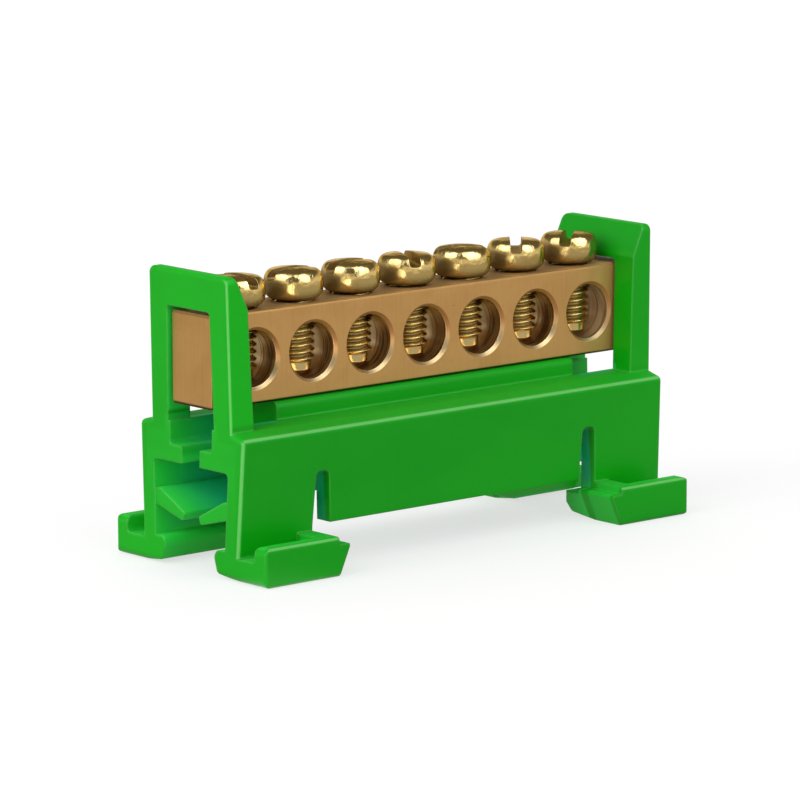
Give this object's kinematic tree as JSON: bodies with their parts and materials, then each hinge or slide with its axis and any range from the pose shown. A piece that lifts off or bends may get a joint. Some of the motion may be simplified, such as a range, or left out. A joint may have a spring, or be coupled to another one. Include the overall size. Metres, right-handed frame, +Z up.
{
  "type": "earth terminal bar",
  "caption": "Rail-mounted terminal bar: a cross-drilled brass bar with slotted clamp screws in a moulded holder whose hooked feet clip across a mounting rail.",
  "frame": {"origin": "middle of the holder, on the plane that the soles of the feet stand on", "axes": "+X along the brass bar, +Y along the mounting rail that the holder clips across, +Z up towards the screw heads"},
  "size_m": [0.0546, 0.023, 0.0289],
  "materials": {
    "moulding": "semi-gloss moulded",
    "bar": "drawn, satin",
    "screw": "bright, turned"
  },
  "bodies": {
    "terminal_block": {"holder": "moulding", "brass_bar": "bar"},
    "screw_1": {"clamp_screw_1": "screw"},
    "screw_2": {"clamp_screw_2": "screw"},
    "screw_3": {"clamp_screw_3": "screw"},
    "screw_4": {"clamp_screw_4": "screw"},
    "screw_5": {"clamp_screw_5": "screw"},
    "screw_6": {"clamp_screw_6": "screw"},
    "screw_7": {"clamp_screw_7": "screw"}
  },
  "joints": [
    {"name": "screw_1_travel", "type": "slide", "parent": "terminal_block", "child": "screw_1", "axis": [0, 0, 1], "range_m": [0, 0.0055]},
    {"name": "screw_2_travel", "type": "slide", "parent": "terminal_block", "child": "screw_2", "axis": [0, 0, 1], "range_m": [0, 0.0055]},
    {"name": "screw_3_travel", "type": "slide", "parent": "terminal_block", "child": "screw_3", "axis": [0, 0, 1], "range_m": [0, 0.0055]},
    {"name": "screw_4_travel", "type": "slide", "parent": "terminal_block", "child": "screw_4", "axis": [0, 0, 1], "range_m": [0, 0.0055]},
    {"name": "screw_5_travel", "type": "slide", "parent": "terminal_block", "child": "screw_5", "axis": [0, 0, 1], "range_m": [0, 0.0055]},
    {"name": "screw_6_travel", "type": "slide", "parent": "terminal_block", "child": "screw_6", "axis": [0, 0, 1], "range_m": [0, 0.0055]},
    {"name": "screw_7_travel", "type": "slide", "parent": "terminal_block", "child": "screw_7", "axis": [0, 0, 1], "range_m": [0, 0.0055]}
  ]
}
